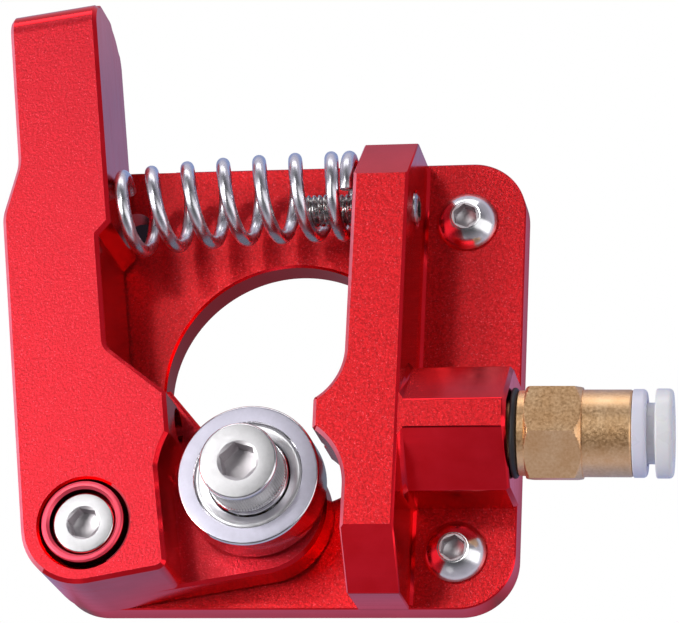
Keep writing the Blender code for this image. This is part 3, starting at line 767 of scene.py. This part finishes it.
def lever():
    thick = LEVER_THICK
    arm = prism("lever_arm_body", arm_outline(), 0, thick)
    side = rounded([(-20, -1), (-20, thick), (LEVER_TOP, thick, TIP_FRONT_ROUND),
                    (LEVER_TOP, 0, TIP_BACK_ROUND)], 20)
    side = [(y, max(z, 0)) for y, z in side]
    envelope = prism("envelope", [(-z, y) for y, z in side], -15, 15, along_x(0, 0, 0))
    combine(arm, envelope, "INTERSECT")

    def rim(edge, at):
        along = (edge.verts[1].co - edge.verts[0].co).normalized()
        return at.z > 0.5 and abs(along.z) < 0.98 and edge.calc_face_angle() > math.radians(50)
    bevel(arm, EDGE_WIDE, rim, clamp=False)
    combine(arm, tongue(), "UNION")
    combine(arm, turned("pivot_bore", hole(BUSH_BORE_RADIUS, 0, thick, RIM_BREAK), ROUND), "DIFFERENCE")
    combine(arm, turned("idler_thread", hole(M4_RADIUS + BORE_GAP, 0, TONGUE_THICK, RIM_BREAK), SMALL,
                        Matrix.Translation((*IDLER_AXIS, 0))), "DIFFERENCE")
    combine(arm, prism("inlet", circle(INLET_RADIUS, SMALL), -15, 15,
                       along_x(0, FILAMENT_Y - PIVOT[1], FILAMENT_Z - LEVER_BACK)), "DIFFERENCE")
    arm.data.transform(lever_matrix())
    finished(arm, "lever", ["lever_arm"], [RED_ARM, CUT_RED, PAINTED_HIGHLIGHT_RED], facing)


# ---------------------------------------------------------------- bearing

def races(place, at):
    """Outer ring with a satin face and a ground rim, and the inner ring."""
    width = BEARING_WIDTH
    middle = width / 2
    edge = BEARING_EDGE
    reach = math.degrees(math.acos((LAND_OUTER - BALL_TRACK) / GROOVE_RADIUS))
    race = [(LAND_OUTER, 0.05), (LAND_OUTER + 0.05, 0), (BEARING_RADIUS - edge, 0)]
    race += arc(BEARING_RADIUS - edge, edge, edge, -90, 0, 5)[1:]
    race += arc(BEARING_RADIUS - edge, width - edge, edge, 0, 90, 5)
    race += [(LAND_OUTER + 0.08, width), (LAND_OUTER, width - 0.08), (LAND_OUTER, width - SHIELD_SEAT)]
    race += arc(BALL_TRACK, middle, GROOVE_RADIUS, reach, -reach, 12)
    rim = turned("bearing_outer_ring_body", race, 144, place)
    finished(rim, "idler_rim", ["bearing_outer_ring"], [RING_RIM, RING_FACE],
             lambda normal, centre: 1 if abs(normal.z) > 0.9 else 0, at, 40)

    reach = math.degrees(math.acos((BALL_TRACK - LAND_INNER) / GROOVE_RADIUS))
    race = [(BEARING_BORE, 0), (LAND_INNER, 0)]
    race += arc(BALL_TRACK, middle, GROOVE_RADIUS, 180 + reach, 180 - reach, 12)
    race += [(LAND_INNER, width - 0.08), (LAND_INNER - 0.08, width), (BEARING_BORE, width)]
    inner = turned("bearing_inner_ring_body", race, ROUND, place)
    finished(inner, "lever", ["bearing_inner_ring"], [RING_RIM], None, at, 40)


def shields(place, at):
    """Pressed rings that close both sides of the bearing."""
    low, high = LAND_INNER + 0.1, LAND_OUTER - 0.02
    face = [(low, 0.22), (low + 0.12, 0.16), (high - 0.5, 0.1), (high - 0.34, 0.0), (high - 0.12, 0.0),
            (high, 0.08)]
    for node, near, away in (("bearing_shield_rear", SHIELD_SINK, 1),
                             ("bearing_shield_front", BEARING_WIDTH - SHIELD_SINK, -1)):
        outline = [(r, near + away * z) for r, z in face]
        outline += [(r, near + away * (z + SHIELD_THICK)) for r, z in reversed(face)]
        shield = turned(node + "_body", outline, ROUND, place)
        finished(shield, "idler_rim", [node], [SHIELD], None, at, 40)


def balls(at):
    for i in range(BALL_COUNT):
        angle = 2 * math.pi * i / BALL_COUNT
        spot = (at[0] + BALL_TRACK * math.cos(angle), at[1] + BALL_TRACK * math.sin(angle),
                at[2] + BEARING_WIDTH / 2)
        ball = turned(f"bearing_ball_{i + 1}_body", arc(0, 0, BALL_RADIUS, -90, 90, 20), 40,
                      Matrix.Translation(spot))
        finished(ball, "idler_balls", [f"bearing_ball_{i + 1}"], [STEEL], None, spot, 60)


def bearing_spacer(at):
    """Washer between the tongue and the bearing's inner ring."""
    back = LEVER_BACK + TONGUE_THICK + FACE_GAP
    front = BEARING_Z - FACE_GAP
    outer = LAND_INNER - 0.6
    edge = 0.1
    spacer = turned("bearing_spacer_body", [(BEARING_BORE, back), (outer - edge, back), (outer, back + edge),
                                            (outer, front - edge), (outer - edge, front),
                                            (BEARING_BORE, front)], ROUND,
                    Matrix.Translation((at[0], at[1], 0)))
    finished(spacer, "lever", ["bearing_spacer"], [STEEL], None, at, 40)


def bearing():
    """Idler bearing on the lever's tongue, with its spacer and screw; the cage keeps its CAD shape."""
    centre = idler_centre()
    at = (centre.x, centre.y, BEARING_Z)
    place = Matrix.Translation(at)
    races(place, at)
    shields(place, at)
    balls(at)
    bearing_spacer(at)
    base = BEARING_Z + BEARING_WIDTH + FACE_GAP
    socket_screw("bearing_screw_body", M4_CAP, M4_RADIUS, M4_PITCH, base, LEVER_BACK, (at[0], at[1]),
                 "lever", "bearing_screw", knurled=True, turn=14)
    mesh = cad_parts["bearing_cage"].data
    mesh.materials.clear()
    mesh.materials.append(CAGE_BRASS)


# ---------------------------------------------------------------- spring and grub screw

def spring():
    """Coil from the lever to the ridge, on an axis curved between its seats, with nearly closed end turns."""
    lean = math.radians(LEAN)
    along = Vector((math.cos(lean), math.sin(lean), 0))
    up = Vector((-math.sin(lean), math.cos(lean), 0))
    seat_y, seat_z = SPRING_SEAT
    start = Vector((*PIVOT, seat_z)) + along * (LEVER_NARROW[1] + SPRING_END_GAP) + up * seat_y
    end = Vector((RIDGE_LEFT - SPRING_END_GAP, GRUB_Y, GRUB_Z)) + Vector((0, *SPRING_LIFT))
    length = (end - start).length
    flat_first, flat_last = SPRING_CLOSED
    flat_pitch = 2 * WIRE_RADIUS + 0.1
    open_pitch = (length - (flat_first + flat_last) * flat_pitch) / (SPRING_TURNS - flat_first - flat_last)
    per_turn, sides = 64, 24
    count = round(SPRING_TURNS * per_turn)

    def centre(turn):
        flat = min(turn, flat_first) + max(turn - SPRING_TURNS + flat_last, 0)
        part = (flat * flat_pitch + (turn - flat) * open_pitch) / length
        first_weight = 2 * part ** 3 - 3 * part ** 2 + 1
        first_pull = (part ** 3 - 2 * part ** 2 + part) * length
        last_pull = (part ** 3 - part ** 2) * length
        middle = (start * first_weight + end * (1 - first_weight) + along * first_pull
                  + Vector((last_pull, 0, 0)))
        axis = along.lerp(Vector((1, 0, 0)), part).normalized()
        side = Vector((0, 0, 1)).cross(axis)
        angle = math.radians(SPRING_START) + 2 * math.pi * turn
        out = side * math.cos(angle) + axis.cross(side) * math.sin(angle)
        return middle + out * SPRING_RADIUS, out

    data = bmesh.new()
    rows = []
    for i in range(-1, count + 2):
        turn = SPRING_TURNS * min(max(i, 0), count) / count
        here, out = centre(turn)
        ahead = (centre(turn + 0.002)[0] - centre(turn - 0.002)[0]).normalized()
        radius = WIRE_RADIUS
        if i in (-1, count + 1):
            radius -= WIRE_TIP
        elif i == 0:
            here = here + ahead * WIRE_TIP
        elif i == count:
            here = here - ahead * WIRE_TIP
        across = ahead.cross(out).normalized()
        out = across.cross(ahead)
        rows.append([data.verts.new(here + (out * math.cos(a) + across * math.sin(a)) * radius)
                     for a in [2 * math.pi * k / sides for k in range(sides)]])
    coil = skin("tension_spring_wire", data, rows)
    finished(coil, None, ["tension_spring"], [SPRING_STEEL], None, (0, 0, 0), 40)
    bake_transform(coil)


def grub_screw():
    """Threaded rod with a key's hexagon in its right end."""
    left, right = GRUB_SPAN
    length = right - left
    edge = 0.35
    steps = round(length / M3_PITCH * 8)
    profile = [(0, 0), (GRUB_RADIUS - edge, 0)]
    profile += [(GRUB_RADIUS, edge * 0.6 + (length - edge * 1.2) * k / steps) for k in range(steps + 1)]
    profile += [(GRUB_RADIUS - edge, length), (0, length)]
    screw = turned("tension_grub_screw_body", profile, ROUND, along_x(left, GRUB_Y, GRUB_Z),
                   thread_wave(M3_PITCH, 0.26, 0.1, length - 0.1))
    combine(screw, prism("socket", circle(1.5 / math.sqrt(3), 6, 10), length - 2.2, length + 1,
                         along_x(left, GRUB_Y, GRUB_Z)), "DIFFERENCE")
    finished(screw, "grub_screw", ["tension_grub_screw"], [DARK_STEEL], None,
             (left, GRUB_Y, GRUB_Z), 35)


# ---------------------------------------------------------------- fitting

def fitting_matrix():
    """From the fitting's own axis, along Z, to its place; it leans back from the boss's end face."""
    lean = Matrix.Rotation(math.radians(FITTING_TILT), 4, "Y")
    return along_x(*FITTING_AT) @ lean


def fitting_ring(name, profile, body, node, look, steps=ROUND):
    made = turned(name, profile, steps, fitting_matrix())
    finished(made, body, [node], [look], None, FITTING_AT, 35)


def fitting_body():
    """Brass body: thread, collar, nut and barrel, bored for the tube."""
    thread = FITTING_THREAD - 0.1
    collar = 3.7
    hex_start, hex_end = HEX_SPAN
    near_cone, far_cone = HEX_CONES
    barrel = BARREL_RADIUS
    corner = HALF_FLATS * 2 / math.sqrt(3)
    rows = 8
    profile = [(1.2, -5.8), (thread - 0.3, -5.8), (thread, -5.5), (thread, 0.6), (collar - 0.1, 0.6),
               (collar, 0.7), (collar, hex_start)]
    profile += [(corner, hex_start + near_cone * k / rows) for k in range(rows + 1)]
    profile += [(corner, hex_end - far_cone * (1 - k / rows)) for k in range(rows + 1)]
    profile += [(barrel, hex_end), (barrel, BARREL_END - 0.15), (barrel - 0.08, BARREL_END)]
    profile += [(3.0, BARREL_END), (3.0, 8.2), (TUBE_BORE, 8.2), (TUBE_BORE, -3.8), (1.2, -3.8)]

    def nut(angle, radius, z):
        """Six flats with both ends turned down to a cone."""
        if radius < corner:
            return radius
        off = (math.degrees(angle) - HEX_TURN) % 60 - 30
        cone = min((z - hex_start) / near_cone, (hex_end - z) / far_cone, 1.0)
        return min(HALF_FLATS / math.cos(math.radians(off)), HALF_FLATS + (corner - HALF_FLATS) * cone)
    body = turned("fitting_body_body", profile, ROUND, fitting_matrix(), nut)
    finished(body, "frame", ["fitting_body"], [BRASS], None, FITTING_AT, 18)


def release_collar():
    """White cap and neck that slide into the barrel."""
    low, high = CAP_SPAN
    collar = [(TUBE_BORE, 10.2), (NECK_RADIUS, 10.2), (NECK_RADIUS, low)]
    collar += arc(CAP_RADIUS - 0.15, low + 0.15, 0.15, -90, 0, 4)
    collar += arc(CAP_RADIUS - 0.4, high - 0.4, 0.4, 0, 90, 8)
    collar += [(TUBE_BORE + 0.3, high), (TUBE_BORE, high - 0.3)]
    fitting_ring("release_collar_body", collar, "release_collar", "release_collar", WHITE)


def fitting():
    """Push-in fitting: sealing ring, brass body, guard ring, release collar, and the rings inside."""
    inner = FITTING_THREAD
    seal = [(inner, 0.04)] + arc(*SEAL_ROUND, -90, 90, 12) + [(inner, 0.58)]
    fitting_ring("fitting_seal_body", seal, "frame", "fitting_seal", RUBBER)
    fitting_body()

    low, high = GUARD_SPAN
    inner = NECK_RADIUS + 0.2
    outer = BARREL_RADIUS + 0.04
    guard = [(inner, low), (outer - 0.08, low), (outer, low + 0.08)]
    guard += arc(outer - 0.4, high - 0.4, 0.4, 0, 90, 8) + [(inner, high)]
    fitting_ring("fitting_guard_ring_body", guard, "frame", "fitting_guard_ring", LILAC)
    release_collar()

    inner = TUBE_BORE + 0.05
    seal = [(inner, 8.35)] + arc(2.62, 8.62, 0.3, -90, 90, 8) + [(inner, 8.95)]
    fitting_ring("tube_seal_body", seal, "frame", "tube_seal", RUBBER, SMALL)
    inner = TUBE_BORE + 0.1
    grip = [(inner, 9.1), (2.92, 9.12), (2.92, 9.4), (2.5, 9.4), (inner, 9.2)]
    fitting_ring("tube_grip_ring_body", grip, "frame", "tube_grip_ring", STEEL, SMALL)


# ---------------------------------------------------------------- stage, light and camera

def ramp_stops(tree, value, stops):
    """Colour ramp from a list of (position, colour)."""
    ramp = tree.nodes.new("ShaderNodeValToRGB")
    band = ramp.color_ramp
    while len(band.elements) < len(stops):
        band.elements.new(0.5)
    for element, (position, colour) in zip(band.elements, stops):
        element.position = position
        element.color = (*colour, 1)
    tree.links.new(value, ramp.inputs[0])
    return ramp.outputs[0]


def white_to_camera(tree, lit):
    """White where the camera looks, the colour given where a surface is lit or reflects."""
    path = tree.nodes.new("ShaderNodeLightPath")
    mix = tree.nodes.new("ShaderNodeMix")
    mix.data_type = "RGBA"
    mix.inputs[7].default_value = (1, 1, 1, 1)
    tree.links.new(lit, mix.inputs[6])
    tree.links.new(path.outputs["Is Camera Ray"], mix.inputs[0])
    return mix.outputs[2]


def floor_look():
    """Glow of the table: painted shadow dark under the plate, a painted red bounce close to it, lilac round
    it and paler far off.

    The camera sees it white, but a painted shadow makes it dark through the plate's empty screw hole.
    """
    made = bpy.data.materials.new("studio_floor_white")
    made.use_nodes = True
    tree = made.node_tree
    tree.nodes.clear()
    coords = tree.nodes.new("ShaderNodeTexCoord")
    split = tree.nodes.new("ShaderNodeSeparateXYZ")
    tree.links.new(coords.outputs["Object"], split.inputs[0])

    def math_node(operation, first, second=0.0):
        node = tree.nodes.new("ShaderNodeMath")
        node.operation = operation
        for socket, value in zip(node.inputs, (first, second)):
            if isinstance(value, bpy.types.NodeSocket):
                tree.links.new(value, socket)
            else:
                socket.default_value = value
        return node.outputs[0]

    across = math_node("ABSOLUTE", split.outputs["X"])
    along = math_node("ABSOLUTE", split.outputs["Y"])
    outside = math_node("SUBTRACT", math_node("MAXIMUM", across, along), PLATE_SIDE / 2 * MM)
    position = math_node("MULTIPLY_ADD", outside, 1 / (100 * MM))
    tree.nodes[-1].inputs[2].default_value = 0.02
    # painted shade: dark under the plate, then a painted red bounce near its edge, then the lilac and pale
    # glow
    lit = ramp_stops(tree, position, [(0.015, (0.17, 0.18, 0.23)), (0.025, (0.32, 0.12, 0.2)),
                                      (0.04, (0.48, 0.27, 0.49)), (0.065, (0.29, 0.37, 0.63)),
                                      (0.14, (0.29, 0.37, 0.63)), (0.5, (0.64, 0.61, 0.7)),
                                      (1.0, (0.56, 0.54, 0.62))])
    # painted shadow: a dark disc on the floor under the empty screw hole, which the camera sees through the
    # hole
    spot = tree.nodes.new("ShaderNodeVectorMath")
    spot.operation = "DISTANCE"
    tree.links.new(coords.outputs["Object"], spot.inputs[0])
    spot.inputs[1].default_value = ((-HOLE_STEP - 0.9) * MM, (HOLE_STEP + 1.7) * MM,
                                    (SCREW_END - FLOOR_GAP) * MM)
    shade = math_node("GREATER_THAN", spot.outputs["Value"], 2.1 * MM)
    painted_hole_shadow_mix = tree.nodes.new("ShaderNodeMix")
    painted_hole_shadow_mix.data_type = "RGBA"
    tree.links.new(shade, painted_hole_shadow_mix.inputs[0])
    painted_hole_shadow_mix.inputs[6].default_value = (0.012, 0.008, 0.012, 1)
    tree.links.new(white_to_camera(tree, lit), painted_hole_shadow_mix.inputs[7])
    glow = tree.nodes.new("ShaderNodeEmission")
    tree.links.new(painted_hole_shadow_mix.outputs[2], glow.inputs["Color"])
    out = tree.nodes.new("ShaderNodeOutputMaterial")
    tree.links.new(glow.outputs[0], out.inputs["Surface"])
    return made


def stage():
    data = bmesh.new()
    size = 1200
    floor_z = SCREW_END - FLOOR_GAP
    corners = ((-1, -1), (1, -1), (1, 1), (-1, 1))
    data.faces.new([data.verts.new((x * size, y * size, floor_z)) for x, y in corners])
    floor = shape("studio_floor", data)
    floor.data.transform(Matrix.Scale(MM, 4))
    floor.data.materials.append(floor_look())

    world = bpy.data.worlds.new("studio")
    bpy.context.scene.world = world
    world.use_nodes = True
    tree = world.node_tree
    coords = tree.nodes.new("ShaderNodeTexCoord")
    split = tree.nodes.new("ShaderNodeSeparateXYZ")
    tree.links.new(coords.outputs["Generated"], split.inputs[0])
    sky = ramp_stops(tree, split.outputs["Z"], [(0.0, (0.45, 0.43, 0.5)), (0.35, (0.36, 0.35, 0.4)),
                                                (0.7, (0.1, 0.1, 0.11)), (1.0, (0.05, 0.05, 0.055))])
    tree.links.new(white_to_camera(tree, sky), tree.nodes["Background"].inputs["Color"])


def area_light(name, towards, distance, size, power, width=None):
    """Light in the direction given, facing the object's middle: a disc, or a panel of size by width."""
    middle = Vector((-1, 2, 6))
    light = bpy.data.lights.new(name, "AREA")
    light.shape = "RECTANGLE" if width else "DISK"
    light.size = (width or size) * MM
    if width:
        light.size_y = size * MM
    light.energy = power
    lamp = bpy.data.objects.new(name, light)
    direction = Vector(towards).normalized()
    lamp.location = (middle + direction * distance) * MM
    lamp.rotation_euler = direction.to_track_quat("Z", "Y").to_euler()
    bpy.context.scene.collection.objects.link(lamp)


def lights():
    area_light("key", (-0.29, 0.31, 0.9), 900, 100, 0.42)
    area_light("side", (-0.62, -0.08, 0.78), 900, 300, 2.7)
    area_light("overhead", (-0.35, 0.3, 0.88), 900, 420, 0.45)
    area_light("left_panel", (-0.86, 0.0, 0.5), 900, 1500, 3.6, 330)
    area_light("right_panel", (0.82, -0.12, 0.56), 900, 1500, 3.0, 560)
    area_light("back_panel", (-0.1, 0.96, 0.24), 900, 300, 1.6, 900)
    area_light("low_panel", (-0.28, -0.87, 0.41), 900, 350, 0.09)


def camera():
    lens = bpy.data.cameras.new("camera")
    lens.sensor_width = 36
    lens.lens = CAMERA_LENS
    lens.clip_start = 0.01
    eye = bpy.data.objects.new("camera", lens)
    ahead = Vector(CAMERA_AIM) - Vector(CAMERA_AT)
    turn = ahead.to_track_quat("-Z", "Y").to_matrix().to_4x4()
    roll = Matrix.Rotation(math.radians(CAMERA_ROLL), 4, "Z")
    eye.matrix_world = Matrix.Translation(Vector(CAMERA_AT) * MM) @ turn @ roll
    bpy.context.scene.collection.objects.link(eye)
    bpy.context.scene.camera = eye
    bpy.context.scene.view_settings.view_transform = "Standard"


frame_block()
screws()
pivot_bush()
lever()
bearing()
spring()
grub_screw()
fitting()
stage()
lights()
camera()
